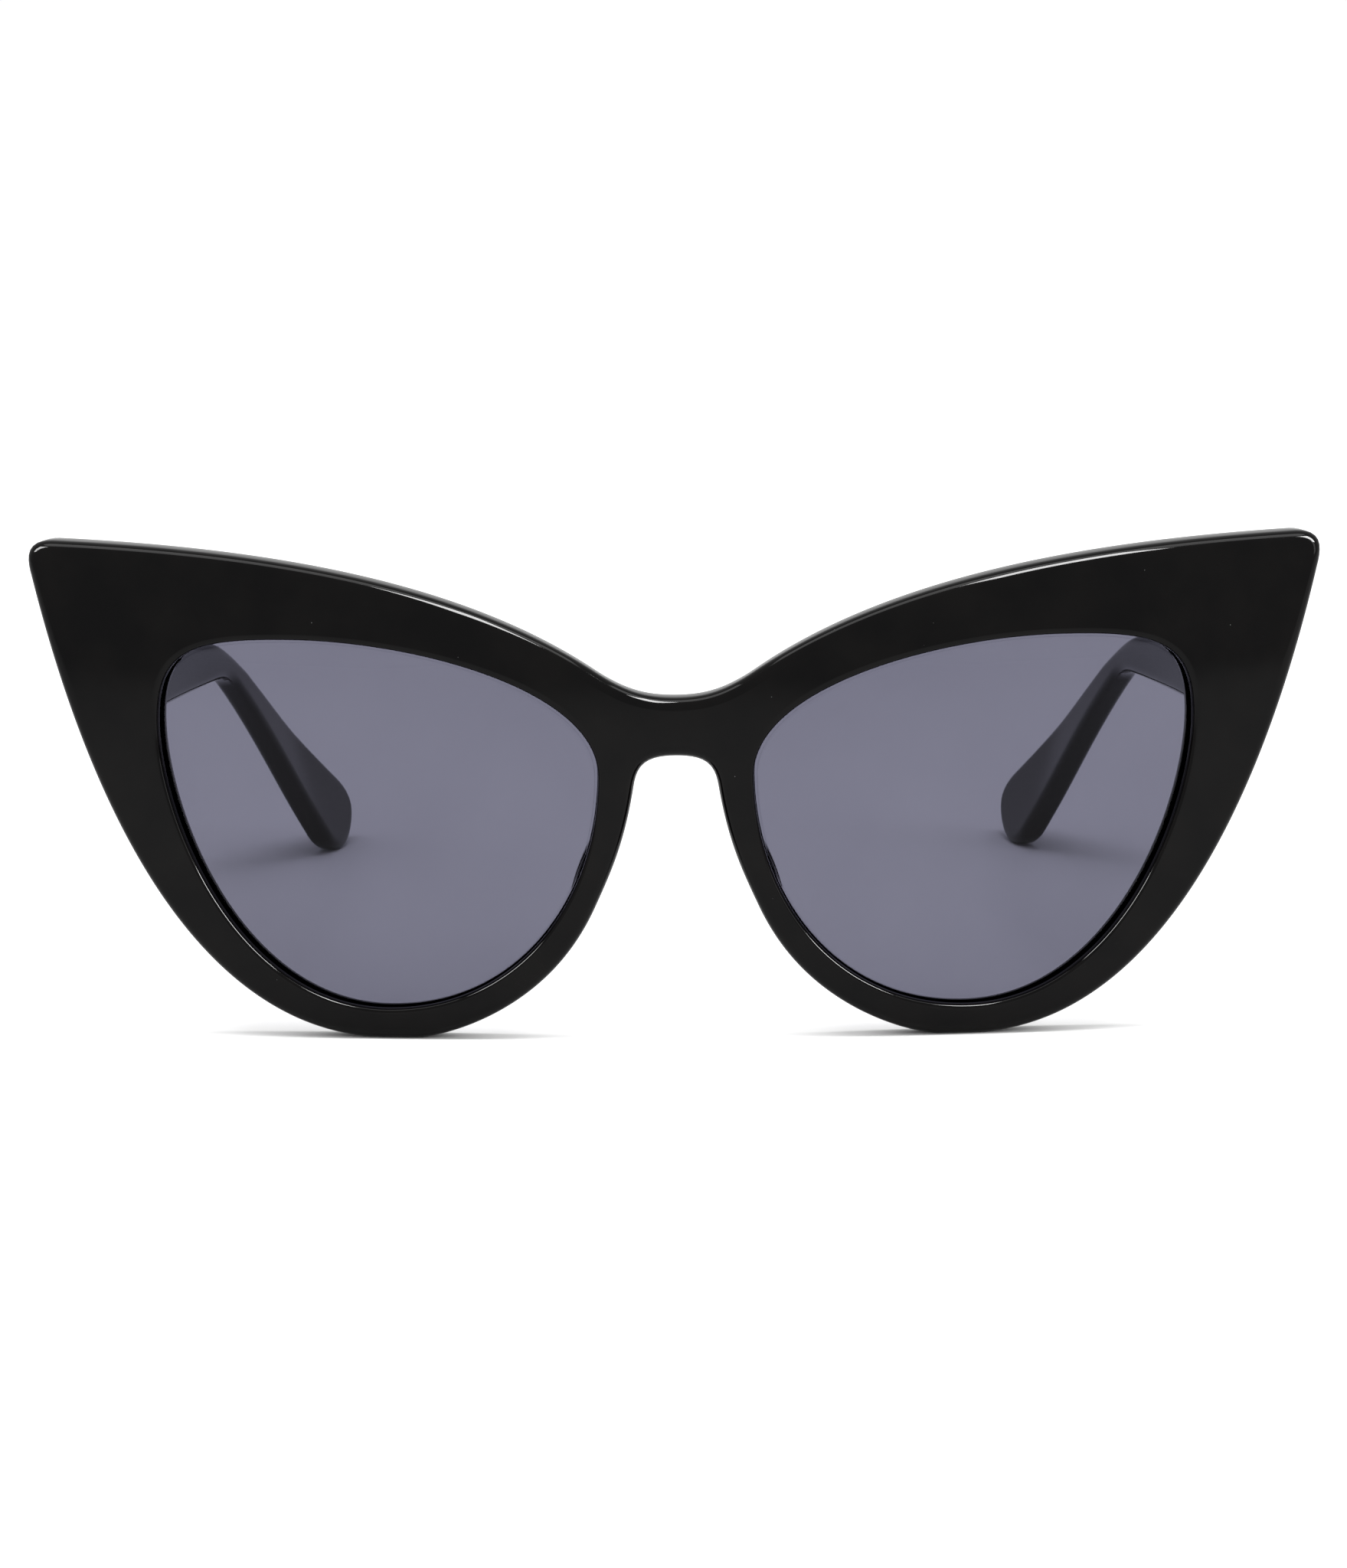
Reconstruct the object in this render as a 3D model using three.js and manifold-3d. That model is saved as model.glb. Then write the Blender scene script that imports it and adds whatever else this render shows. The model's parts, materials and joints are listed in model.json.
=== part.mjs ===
// Cat eye sunglasses, standing on their rims and temple tips with the temples open.
// Millimetres, +Z up. The front faces -Y, the temples run back along +Y, and the wearer's
// left is +X. Depths are counted back from the front's foremost surface.
import * as THREE from "three";
import { TessellateModifier } from "three/addons/modifiers/TessellateModifier.js";
import { mergeVertices } from "three/addons/utils/BufferGeometryUtils.js";
import Module from "manifold-3d";

const wasm = await Module();
wasm.setup();

// ---- driving dimensions ----
const GAP = 0.3; // air left between pieces that meet
const LONGEST_EDGE = 12; // sheets are divided this finely before they are bent
const BASE_CURVE = 175; // radius of the lens surfaces and of each half of the front
const APEX_X = 16.1; // where each half of the front faces straight ahead
const APEX_Z = 30;
const BRIDGE_REACH = 8; // half width of the bridge that joins the two curved halves

const FRONT_THICKNESS = 4.2;
const EDGE_ROUND = 1.1; // rounding of the front's outer edge
const OPENING_CHAMFER = 0.7;
const GROOVE_DEPTH = 1.0;
const GROOVE_MIDDLE = 2.1; // depth of the lens groove's middle
const LENS_THICKNESS = 2.0;
const LENS_CENTRE = new THREE.Vector2(34, 25.5);

const TEMPLE_INNER_X = 64.1; // the temple's inner face at the hinge
const TEMPLE_THICKNESS = 4.2;
const EAR_THICKNESS = 3.2;
const TEMPLE_INWARD = 0.122; // how far the shaft runs inwards for each mm back
const EAR_LEAN = 0.24; // how far the ear piece leans inwards for each mm down
const EAR_TOP_Z = 31;
const TIP_CURL = 0.1; // how much more the tip runs inwards for each mm back
const TIP_BACK = 118; // where that curl begins
const WIRE_RADIUS = 0.65;
const WIRE_SHARE = 0.57; // where the core wire lies in the temple's thickness

const AXIS_X = 62.2;
const HINGE_Z = 39.2;
const BARREL_RADIUS = 1.5;
const BORE_RADIUS = 0.9;
const BARREL_HEIGHT = 1.45;
const BARRELS = 5;
const LEAF_THICKNESS = 1.0;
const NECK_WIDTH = 2.2;
const FRONT_LEAF = { width: 3.2, height: 12.4, rivetZ: 5.1 };
const TEMPLE_LEAF = { length: 9, height: 8.4, rivetBack: 6.6, rivetZ: 2.4 };
const RIVET = { head: 0.75, shank: 0.5, sunk: 0.8, length: 2.3 };
const SCREW = { shank: 0.65, head: 1.2, headHeight: 0.7, slot: 0.35 };
const PAD = { x: 9.6, z: 19, halfLength: 6.6, halfWidth: 1.55, tilt: 0.36, height: 4.2, flare: 0.8 };

// ---- colours ----
const acetate = () => new THREE.MeshStandardMaterial({ color: 0x0b0b0c, roughness: 0.12 });
const steel = () => new THREE.MeshStandardMaterial({ color: 0xb4b4b8, roughness: 0.3, metalness: 1 });
const tinted = () => new THREE.MeshStandardMaterial({ color: 0x4c4c58, roughness: 0.05 });

// ---- the curved surface that the front and the lenses follow ----
// Two shallow bowls side by side, joined across the bridge by an arch that meets them smoothly.
function wrap(x, z) {
  const a = Math.abs(x);
  const across = (a > BRIDGE_REACH ? a : BRIDGE_REACH) - APEX_X;
  const arch = a > BRIDGE_REACH ? 0 : (across * (a * a - BRIDGE_REACH ** 2)) / (2 * BRIDGE_REACH * BASE_CURVE);
  return (across ** 2 + (z - APEX_Z) ** 2) / (2 * BASE_CURVE) + arch;
}

// How fast that surface runs back for each mm across.
function slope(x) {
  const a = Math.min(Math.abs(x), BRIDGE_REACH);
  const across = Math.abs(x) - APEX_X;
  const arch = ((BRIDGE_REACH - APEX_X) * a) / BRIDGE_REACH;
  return (Math.sign(x) * (Math.abs(x) > BRIDGE_REACH ? across : arch)) / BASE_CURVE;
}

// Places a point by its depth, measured square to the surface as seen from above.
function onFront(x, z, depth) {
  const lean = slope(x);
  const step = depth / Math.hypot(1, lean);
  return new THREE.Vector3(x - step * lean, wrap(x, z) + step, z);
}

// The back of the front, straight behind a point of its foremost surface.
const backOf = (x, z) => wrap(x, z) + FRONT_THICKNESS * Math.hypot(1, slope(x));
const AXIS_Y = backOf(AXIS_X, HINGE_Z) + BARREL_RADIUS + 2 * GAP;
const TEMPLE_START = backOf(TEMPLE_INNER_X, HINGE_Z) + GAP;

// ---- outlines ----
const cubic = (ax, ay, bx, by, cx, cy, dx, dy) =>
  new THREE.CubicBezierCurve(
    new THREE.Vector2(ax, ay),
    new THREE.Vector2(bx, by),
    new THREE.Vector2(cx, cy),
    new THREE.Vector2(dx, dy),
  );

// Points along joined curves, each given with its number of steps; the last end point is left out.
function trace(stretches) {
  return stretches.flatMap(([curve, steps]) => curve.getSpacedPoints(steps).slice(0, -1));
}

function straight(ax, ay, bx, by) {
  return new THREE.LineCurve(new THREE.Vector2(ax, ay), new THREE.Vector2(bx, by));
}

// The front's outline: brow, pointed wing tip, flank, flat foot, nasal side and nose arch.
function frontOutline() {
  const half = trace([
    [cubic(0, 40, 3.6, 40, 5.7, 40.8, 8.9, 42.9), 6],
    [cubic(8.9, 42.9, 25.6, 54.1, 49.6, 57, 71.5, 57.3), 18],
    [cubic(71.5, 57.3, 74.2, 57.4, 75.6, 56.6, 74.6, 53.2), 7],
    [cubic(74.6, 53.2, 69.4, 32.5, 58, 0, 34, 0), 18],
    [straight(34, 0, 30.2, 0), 1],
    [cubic(30.2, 0, 28.4, 0, 15.3, 2.4, 9.3, 15.6), 10],
    [cubic(9.3, 15.6, 7.6, 19.3, 5.9, 22.9, 4.8, 29.7), 5],
    [cubic(4.8, 29.7, 4.4, 32.2, 3.4, 33.2, 0, 33.2), 6],
  ]);
  const mirrored = half.slice(1).map((p) => new THREE.Vector2(-p.x, p.y));
  // The half runs clockwise on the +X side, so the loop is turned over to run anticlockwise.
  return [...half, new THREE.Vector2(0, 33.2), ...mirrored.reverse()].reverse();
}

// One lens opening, on the +X side, anticlockwise.
function openingOutline() {
  return trace([
    [cubic(44.1, 46.7, 29, 46.7, 8.9, 40.9, 8.9, 31), 13],
    [cubic(8.9, 31, 8.9, 17.4, 17.8, 3.6, 33.5, 3.6), 12],
    [cubic(33.5, 3.6, 51.3, 3.6, 59.7, 26.3, 59.7, 37), 13],
    [cubic(59.7, 37, 59.7, 45.2, 55.7, 46.7, 44.1, 46.7), 8],
  ]);
}

// The temple from the side, as distance back and height: shaft, bend and paddle tip.
function templeOutline() {
  const start = TEMPLE_START;
  return trace([
    [straight(start, 45.2, start, 34), 1],
    [cubic(start, 34, 34, 32.4, 62, 30.8, 80, 29.6), 8],
    [cubic(80, 29.6, 86, 29.2, 89.6, 28.9, 93, 27.2), 4],
    [cubic(93, 27.2, 103.8, 20.9, 113.6, 11.2, 122.5, 1.8), 6],
    [cubic(122.5, 1.8, 126, -1.1, 131.3, -0.2, 134.6, 2.6), 5],
    [cubic(134.6, 2.6, 137.1, 4.8, 135.7, 6.9, 132.7, 8.7), 4],
    [cubic(132.7, 8.7, 122.5, 14.7, 110.2, 22.7, 100.3, 28.1), 6],
    [cubic(100.3, 28.1, 92.3, 31.8, 86.3, 33.8, 78.3, 34.9), 5],
    [cubic(78.3, 34.9, 58, 37.6, 34, 43.2, start, 45.2), 8],
  ]);
}

// ---- mesh building ----
// A closed loop moved towards its inside by inset; share lets the inset fade along the loop.
function insetLoop(loop, inset, share = () => 1) {
  return loop.map((point, i) => {
    const before = loop[(i + loop.length - 1) % loop.length];
    const after = loop[(i + 1) % loop.length];
    const first = new THREE.Vector2().subVectors(point, before).normalize();
    const second = new THREE.Vector2().subVectors(after, point).normalize();
    const along = first.clone().add(second).normalize();
    const stretch = 1 / Math.max(0.5, along.dot(second));
    const inward = new THREE.Vector2(-along.y, along.x);
    return point.clone().addScaledVector(inward, inset * stretch * share(point));
  });
}

// Collects points and the triangles between them.
class Skin {
  constructor() {
    this.points = [];
    this.faces = [];
  }

  add(points) {
    const from = this.points.length;
    this.points.push(...points);
    return points.map((_, i) => from + i);
  }

  band(loop, next) {
    loop.forEach((a, i) => {
      const j = (i + 1) % loop.length;
      this.faces.push([a, next[i], loop[j]], [loop[j], next[i], next[j]]);
    });
  }

  bands(loops) {
    loops.slice(1).forEach((loop, i) => this.band(loops[i], loop));
  }

  fan(loop, centre, flipped) {
    loop.forEach((a, i) => {
      const b = loop[(i + 1) % loop.length];
      this.faces.push(flipped ? [b, a, centre] : [a, b, centre]);
    });
  }

  cap(contour, holes, numbers, flipped) {
    const flat = [contour, ...holes].flat();
    THREE.ShapeUtils.triangulateShape(contour, holes).forEach(([a, b, c]) => {
      const turn = (flat[b].x - flat[a].x) * (flat[c].y - flat[a].y)
        - (flat[b].y - flat[a].y) * (flat[c].x - flat[a].x);
      const face = turn > 0 === flipped ? [c, b, a] : [a, b, c];
      this.faces.push(face.map((k) => numbers[k]));
    });
  }

  geometry() {
    const result = new THREE.BufferGeometry().setFromPoints(this.points);
    result.setIndex(this.faces.flat());
    return result;
  }
}

function turnOver(geometry) {
  const order = geometry.index.array;
  for (let i = 0; i < order.length; i += 3) {
    [order[i], order[i + 2]] = [order[i + 2], order[i]];
  }
  return geometry;
}

// Turns a closed geometry's faces outwards.
function outward(geometry) {
  const points = geometry.attributes.position;
  const order = geometry.index.array;
  const corner = (k) => new THREE.Vector3().fromBufferAttribute(points, order[k]);
  let volume = 0;
  for (let i = 0; i < order.length; i += 3) {
    volume += corner(i).dot(corner(i + 1).cross(corner(i + 2)));
  }
  return volume < 0 ? turnOver(geometry) : geometry;
}

// Divides a flat sheet finely, then lays each of its points in its place.
function bend(flat, place) {
  const fine = mergeVertices(new TessellateModifier(LONGEST_EDGE, 8).modify(flat), 1e-4);
  const points = fine.attributes.position;
  for (let i = 0; i < points.count; i += 1) {
    const p = place(points.getX(i), points.getY(i), points.getZ(i));
    points.setXYZ(i, p.x, p.y, p.z);
  }
  return outward(fine);
}

// A sheet with rounded edges: each profile step is [inset, depth] from its near face to its far one.
function sheet(outer, outerProfile, holes, holeProfile, place, share) {
  const skin = new Skin();
  const raise = (loop, profile) =>
    profile.map(([inset, depth]) => {
      const flat = insetLoop(loop, inset, share);
      return { flat, numbers: skin.add(flat.map((p) => new THREE.Vector3(p.x, p.y, depth))) };
    });
  const rims = [raise(outer, outerProfile), ...holes.map((hole) => raise(hole, holeProfile))];
  rims.forEach((rings) => skin.bands(rings.map((ring) => ring.numbers)));
  [0, -1].forEach((end) => {
    const [contour, ...inner] = rims.map((rings) => rings.at(end));
    const numbers = [contour, ...inner].flatMap((ring) => ring.numbers);
    skin.cap(contour.flat, inner.map((ring) => ring.flat), numbers, end === -1);
  });
  return bend(skin.geometry(), place);
}

// A closed form through loops of points, drawn together to one point at each end.
function closedLoft(start, loops, end) {
  const skin = new Skin();
  const rings = loops.map((loop) => skin.add(loop));
  const [first, last] = skin.add([start, end]);
  skin.bands(rings);
  skin.fan(rings[0], first, false);
  skin.fan(rings.at(-1), last, true);
  return outward(skin.geometry());
}

function solid(geometry) {
  const plain = geometry.clone();
  plain.deleteAttribute("normal");
  plain.deleteAttribute("uv");
  const merged = mergeVertices(plain, 1e-4);
  const mesh = new wasm.Mesh({
    numProp: 3,
    vertProperties: new Float32Array(merged.attributes.position.array),
    triVerts: new Uint32Array(merged.index.array),
  });
  return new wasm.Manifold(mesh);
}

function fromSolid(body) {
  const mesh = body.getMesh();
  const result = new THREE.BufferGeometry();
  result.setAttribute("position", new THREE.BufferAttribute(new Float32Array(mesh.vertProperties), 3));
  result.setIndex(new THREE.BufferAttribute(new Uint32Array(mesh.triVerts), 1));
  return result;
}

function cutAway(geometry, tools) {
  return fromSolid(tools.reduce((body, tool) => body.subtract(solid(tool)), solid(geometry)));
}

function joined(geometries) {
  return fromSolid(geometries.map(solid).reduce((body, next) => body.add(next)));
}

// A block given by its centre and size, turned about Z by an angle.
function block(x, y, z, width, depth, height, angle = 0) {
  return new THREE.BoxGeometry(width, depth, height).rotateZ(angle).translate(x, y, z);
}

function post(x, y, z, radius, height, sides = 16) {
  return new THREE.CylinderGeometry(radius, radius, height, sides).rotateX(Math.PI / 2).translate(x, y, z);
}

function mirrorX(geometry) {
  return turnOver(geometry.clone().applyMatrix4(new THREE.Matrix4().makeScale(-1, 1, 1)));
}

// ---- hinge places, on the +X side ----
const barrelZ = (k) => HINGE_Z + (k - (BARRELS - 1) / 2) * (BARREL_HEIGHT + GAP);
const LEAF_ANGLE = Math.atan(slope(AXIS_X));
const FRONT_LEAF_Y = backOf(AXIS_X, HINGE_Z) - LEAF_THICKNESS / 2;
const FRONT_BARRELS = [0, 2, 4];
const TEMPLE_BARRELS = [1, 3];
const TEMPLE_LEAF_START = TEMPLE_START + 2 * GAP;

// A rivet set along +Y from the origin: a low domed head and a blunt shank.
function rivetShape(grow = 0) {
  const { head, shank, sunk, length } = RIVET;
  const profile = [
    [0, -0.15 - grow], [head * 0.7 + grow, -0.1 - grow], [head + grow, 0.1 - grow], [head + grow, sunk],
    [shank + grow, sunk], [shank + grow, length], [0, length + 0.2 + grow],
  ].map(([radius, depth]) => new THREE.Vector2(radius, depth));
  return new THREE.LatheGeometry(profile, 10);
}

// Rivets of the front leaf point forwards into the front; those of the temple leaf point outwards.
function frontRivet(side, grow) {
  const z = HINGE_Z + side * FRONT_LEAF.rivetZ;
  const y = FRONT_LEAF_Y + LEAF_THICKNESS / 2;
  return rivetShape(grow).rotateX(Math.PI).rotateZ(LEAF_ANGLE).translate(AXIS_X, y, z);
}

function templeRivet(side, grow) {
  const y = TEMPLE_LEAF_START + TEMPLE_LEAF.rivetBack;
  const z = HINGE_Z + side * TEMPLE_LEAF.rivetZ;
  return rivetShape(grow).rotateZ(-Math.PI / 2).translate(TEMPLE_INNER_X, y, z);
}

function frontLeafPlate(grow = 0) {
  const { width, height } = FRONT_LEAF;
  return block(AXIS_X, FRONT_LEAF_Y, HINGE_Z, width + 2 * grow, LEAF_THICKNESS + 2 * grow,
    height + 2 * grow, LEAF_ANGLE);
}

function templeLeafPlate(grow = 0, reach = 0) {
  const { length, height } = TEMPLE_LEAF;
  const y = TEMPLE_LEAF_START + (length + grow - reach) / 2;
  return block(TEMPLE_INNER_X + LEAF_THICKNESS / 2, y, HINGE_Z,
    LEAF_THICKNESS + 2 * grow, length + grow + reach, height + 2 * grow);
}

const axisPost = (k, radius, height) => post(AXIS_X, AXIS_Y, barrelZ(k), radius, height);

function frontLeaf() {
  const reach = AXIS_Y - FRONT_LEAF_Y;
  const necks = FRONT_BARRELS.map((k) =>
    block(AXIS_X, AXIS_Y - reach / 2, barrelZ(k), NECK_WIDTH, reach, BARREL_HEIGHT));
  const barrels = FRONT_BARRELS.map((k) => axisPost(k, BARREL_RADIUS, BARREL_HEIGHT));
  const bore = axisPost(2, BORE_RADIUS, 12);
  const holes = [-1, 1].map((side) => frontRivet(side, GAP));
  return cutAway(joined([frontLeafPlate(), ...necks, ...barrels]), [bore, ...holes]);
}

function templeLeaf() {
  const reach = TEMPLE_INNER_X + LEAF_THICKNESS / 2 - AXIS_X;
  const necks = TEMPLE_BARRELS.map((k) =>
    block(AXIS_X + reach / 2, AXIS_Y + GAP, barrelZ(k), reach, NECK_WIDTH, BARREL_HEIGHT));
  const barrels = TEMPLE_BARRELS.map((k) => axisPost(k, BARREL_RADIUS, BARREL_HEIGHT));
  const bore = axisPost(2, BORE_RADIUS, 12);
  const holes = [-1, 1].map((side) => templeRivet(side, GAP));
  return cutAway(joined([templeLeafPlate(), ...necks, ...barrels]), [bore, ...holes]);
}

// A slotted screw down through the barrels.
function hingeScrew() {
  const top = barrelZ(BARRELS - 1) + BARREL_HEIGHT / 2 + GAP / 3;
  const bottom = barrelZ(0) - BARREL_HEIGHT / 2;
  const { shank, head, headHeight, slot } = SCREW;
  const profile = [
    [0, bottom], [shank, bottom], [shank, top], [head, top], [head, top + headHeight * 0.6],
    [head * 0.8, top + headHeight], [0, top + headHeight],
  ].map(([radius, height]) => new THREE.Vector2(radius, height));
  const body = new THREE.LatheGeometry(profile, 16).rotateX(Math.PI / 2).translate(AXIS_X, AXIS_Y, 0);
  return cutAway(body, [block(AXIS_X, AXIS_Y, top + headHeight, 3, slot, headHeight, 0.6)]);
}

// ---- front, lenses and pads ----
function roundedEdge(round, thickness) {
  const quarter = [0, 0.5, 1].map((t) => (t * Math.PI) / 2);
  const near = quarter.map((a) => [round * (1 - Math.sin(a)), round * (1 - Math.cos(a))]);
  const far = near.map(([inset, depth]) => [inset, thickness - depth]).reverse();
  return [...near, ...far];
}

function frontFrame() {
  const opening = openingOutline();
  const mirrored = opening.map((p) => new THREE.Vector2(-p.x, p.y)).reverse();
  // Openings run clockwise, so a positive inset would shrink the material round them.
  const holes = [opening, mirrored].map((loop) => [...loop].reverse());
  const grooveHalf = 0.95;
  const holeProfile = [
    [OPENING_CHAMFER, 0],
    [OPENING_CHAMFER * 0.2, OPENING_CHAMFER * 0.3],
    [0, OPENING_CHAMFER],
    [0, GROOVE_MIDDLE - grooveHalf],
    [GROOVE_DEPTH, GROOVE_MIDDLE - 0.2],
    [GROOVE_DEPTH, GROOVE_MIDDLE + 0.2],
    [0, GROOVE_MIDDLE + grooveHalf],
    [0, FRONT_THICKNESS - 0.5],
    [0.5, FRONT_THICKNESS],
  ];
  const blank = sheet(frontOutline(), roundedEdge(EDGE_ROUND, FRONT_THICKNESS), holes, holeProfile, onFront);
  const pocket = frontLeafPlate(GAP);
  const tools = [pocket, frontRivet(-1, GAP), frontRivet(1, GAP)];
  return cutAway(blank, [...tools, ...tools.map(mirrorX)]);
}

function lens() {
  const opening = openingOutline();
  const front = GROOVE_MIDDLE - LENS_THICKNESS / 2;
  const back = GROOVE_MIDDLE + LENS_THICKNESS / 2;
  const seat = GAP + 0.05;
  const bevel = GROOVE_DEPTH - seat;
  const ring = (inset, depth, scale = 1) =>
    insetLoop(opening, inset).map((p) => {
      const q = LENS_CENTRE.clone().lerp(p, scale);
      return onFront(q.x, q.y, depth);
    });
  const loops = [
    ring(seat, front, 0.35), ring(seat, front, 0.7), ring(seat, front),
    ring(seat, front + 0.25), ring(-bevel, GROOVE_MIDDLE - 0.1), ring(-bevel, GROOVE_MIDDLE + 0.1),
    ring(seat, back - 0.25), ring(seat, back), ring(seat, back, 0.7), ring(seat, back, 0.35),
  ];
  const centre = (depth) => onFront(LENS_CENTRE.x, LENS_CENTRE.y, depth);
  return closedLoft(centre(front), loops, centre(back));
}

// A long domed pad behind the nasal side of the rim, flaring outwards as it goes back.
function nosePad() {
  const steps = 20;
  const ring = (share, rise) =>
    Array.from({ length: steps }, (_, i) => {
      const angle = (2 * Math.PI * i) / steps;
      const across = PAD.halfWidth * share * Math.cos(angle);
      const along = PAD.halfLength * share * Math.sin(angle);
      const flare = PAD.flare * (rise / PAD.height);
      const x = PAD.x + flare + across * Math.cos(PAD.tilt) - along * Math.sin(PAD.tilt);
      const z = PAD.z + across * Math.sin(PAD.tilt) + along * Math.cos(PAD.tilt);
      return onFront(x, z, FRONT_THICKNESS + GAP + rise);
    });
  const dome = [0.35, 0.65, 0.9].map((t) => ring(Math.sqrt(1 - t * t), PAD.height * t));
  const base = onFront(PAD.x, PAD.z, FRONT_THICKNESS + GAP);
  const crown = onFront(PAD.x + PAD.flare, PAD.z, FRONT_THICKNESS + GAP + PAD.height);
  return closedLoft(base, [ring(1, 0), ...dome], crown);
}

// ---- temples ----
const ramp = (t, softness) => (Math.hypot(t, softness) + t) / 2;
const smooth = (from, to, t) => THREE.MathUtils.smoothstep(t, from, to);
const templeThick = (back) => THREE.MathUtils.lerp(TEMPLE_THICKNESS, EAR_THICKNESS, smooth(24, 95, back));

function templeInner(back, z) {
  const shaft = TEMPLE_INWARD * ramp(back - 26, 4) + TIP_CURL * ramp(back - TIP_BACK, 4);
  const lean = EAR_LEAN * ramp(EAR_TOP_Z - z, 3) * smooth(55, 88, back);
  return TEMPLE_INNER_X - shaft - lean;
}

// Places a point of the temple by distance back, height and share of its thickness.
// The first stretch is sheared so that the end face follows the back of the front.
function onTemple(back, z, share) {
  const x = templeInner(back, z) + share * templeThick(back);
  const mitre = wrap(x, z) - wrap(TEMPLE_INNER_X, HINGE_Z);
  const fade = 1 - smooth(TEMPLE_START, TEMPLE_START + 12, back);
  return new THREE.Vector3(x, back + mitre * fade, z);
}

// The core wire's line, as distance back and height.
function wireLine() {
  return new THREE.SplineCurve([
    new THREE.Vector2(TEMPLE_START + 1, HINGE_Z),
    new THREE.Vector2(45, 36),
    new THREE.Vector2(76, 32.3),
    new THREE.Vector2(89, 30.7),
    new THREE.Vector2(97, 27.4),
    new THREE.Vector2(106, 21.6),
    new THREE.Vector2(124, 7.3),
  ]);
}

// A round bar inside the temple; lead carries its first loop forwards.
function bar(radius, lead) {
  const sides = 8;
  const line = wireLine();
  const at = (share) => {
    const p = line.getPoint(share);
    if (share === 0) p.x -= lead;
    return p;
  };
  const steps = Array.from({ length: 23 }, (_, i) => i / 22);
  const loops = steps.map((share) => {
    const p = at(share);
    const t = line.getTangent(share);
    return Array.from({ length: sides }, (_, i) => {
      const angle = (2 * Math.PI * (i + 0.5)) / sides;
      const up = radius * Math.cos(angle);
      const point = onTemple(p.x - up * t.y, p.y + up * t.x, WIRE_SHARE);
      point.x += radius * Math.sin(angle);
      return point;
    });
  });
  const end = (share) => onTemple(at(share).x, at(share).y, WIRE_SHARE);
  return closedLoft(end(0), loops, end(1));
}

function temple() {
  const round = 1.0;
  const share = (point) => smooth(TEMPLE_START, TEMPLE_START + 3, point.x);
  const profile = roundedEdge(round, TEMPLE_THICKNESS);
  const place = (back, z, depth) => onTemple(back, z, depth / TEMPLE_THICKNESS);
  const blank = sheet(templeOutline(), profile, [], [], place, share);
  const pocket = templeLeafPlate(GAP, 4);
  const channel = bar(WIRE_RADIUS + GAP, 4);
  return cutAway(blank, [pocket, channel, templeRivet(-1, GAP), templeRivet(1, GAP)]);
}

// ---- assembly ----
const group = new THREE.Group();

function addPiece(name, geometry, material) {
  const mesh = new THREE.Mesh(geometry, material());
  mesh.name = name;
  group.add(mesh);
}

// A piece on the wearer's left and its mirror image on the right.
function addPair(name, geometry, material) {
  addPiece(`left_${name}`, geometry, material);
  addPiece(`right_${name}`, mirrorX(geometry), material);
}

addPiece("front_frame", frontFrame(), acetate);
addPair("lens", lens(), tinted);
addPair("nose_pad", nosePad(), acetate);
addPair("front_leaf", frontLeaf(), steel);
addPair("temple_leaf", templeLeaf(), steel);
addPair("hinge_screw", hingeScrew(), steel);
addPair("temple", temple(), acetate);
addPair("core_wire", bar(WIRE_RADIUS, 0), steel);
[["lower", -1], ["upper", 1]].forEach(([place, side]) => {
  addPair(`front_rivet_${place}`, frontRivet(side, 0), steel);
  addPair(`temple_rivet_${place}`, templeRivet(side, 0), steel);
});

// The origin is under the middle of the glasses, on the surface that they stand on.
const box = new THREE.Box3().setFromObject(group);
group.position.set(0, -(box.min.y + box.max.y) / 2, -box.min.z);

export default group;
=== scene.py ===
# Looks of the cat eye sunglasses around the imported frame.
# Shapes are worked out in millimetres: depths are counted back from the front's foremost surface,
# and the wearer's left is +X. The meshes themselves are in metres, in the frame's coordinates.
import json
import math

import bmesh
import bpy
import numpy as np
from mathutils import Matrix, Quaternion, Vector, geometry

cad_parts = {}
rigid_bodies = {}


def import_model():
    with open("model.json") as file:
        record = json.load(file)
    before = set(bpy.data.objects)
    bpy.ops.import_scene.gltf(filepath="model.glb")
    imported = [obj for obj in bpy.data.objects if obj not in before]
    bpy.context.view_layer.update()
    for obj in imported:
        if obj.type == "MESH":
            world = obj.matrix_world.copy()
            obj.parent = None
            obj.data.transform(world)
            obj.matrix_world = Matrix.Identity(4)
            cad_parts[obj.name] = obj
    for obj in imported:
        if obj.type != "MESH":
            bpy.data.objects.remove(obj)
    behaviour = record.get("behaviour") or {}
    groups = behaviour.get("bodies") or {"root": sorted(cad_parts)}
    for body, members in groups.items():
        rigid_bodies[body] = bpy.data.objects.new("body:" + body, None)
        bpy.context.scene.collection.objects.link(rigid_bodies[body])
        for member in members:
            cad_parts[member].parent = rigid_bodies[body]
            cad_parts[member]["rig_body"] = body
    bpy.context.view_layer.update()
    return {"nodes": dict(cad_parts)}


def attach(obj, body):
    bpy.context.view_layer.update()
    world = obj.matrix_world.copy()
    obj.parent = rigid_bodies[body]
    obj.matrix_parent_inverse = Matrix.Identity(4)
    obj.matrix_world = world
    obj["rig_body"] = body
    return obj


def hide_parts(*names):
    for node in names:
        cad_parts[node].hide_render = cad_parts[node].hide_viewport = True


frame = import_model()

# ---- dimensions, in millimetres ----
MM = 0.001
FRONT_Y = -67.9708  # the front's foremost surface in the frame's coordinates
BASE_CURVE = 175.0  # radius of the lens surfaces and of each half of the front
APEX = (16.1, 30.0)  # where each half of the front faces straight ahead
BRIDGE_REACH = 8.0
GAP = 0.3

FRONT_THICKNESS = 4.2
FRONT_EDGE = 1.15  # rounding of the outer edge, wider where the nose sides are filed soft
NOSE_EDGE = 1.55
BACK_EDGE = 1.0
GROOVE_DEPTH = 1.0
GROOVE_MIDDLE = 2.1
LENS_THICKNESS = 2.0

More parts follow.
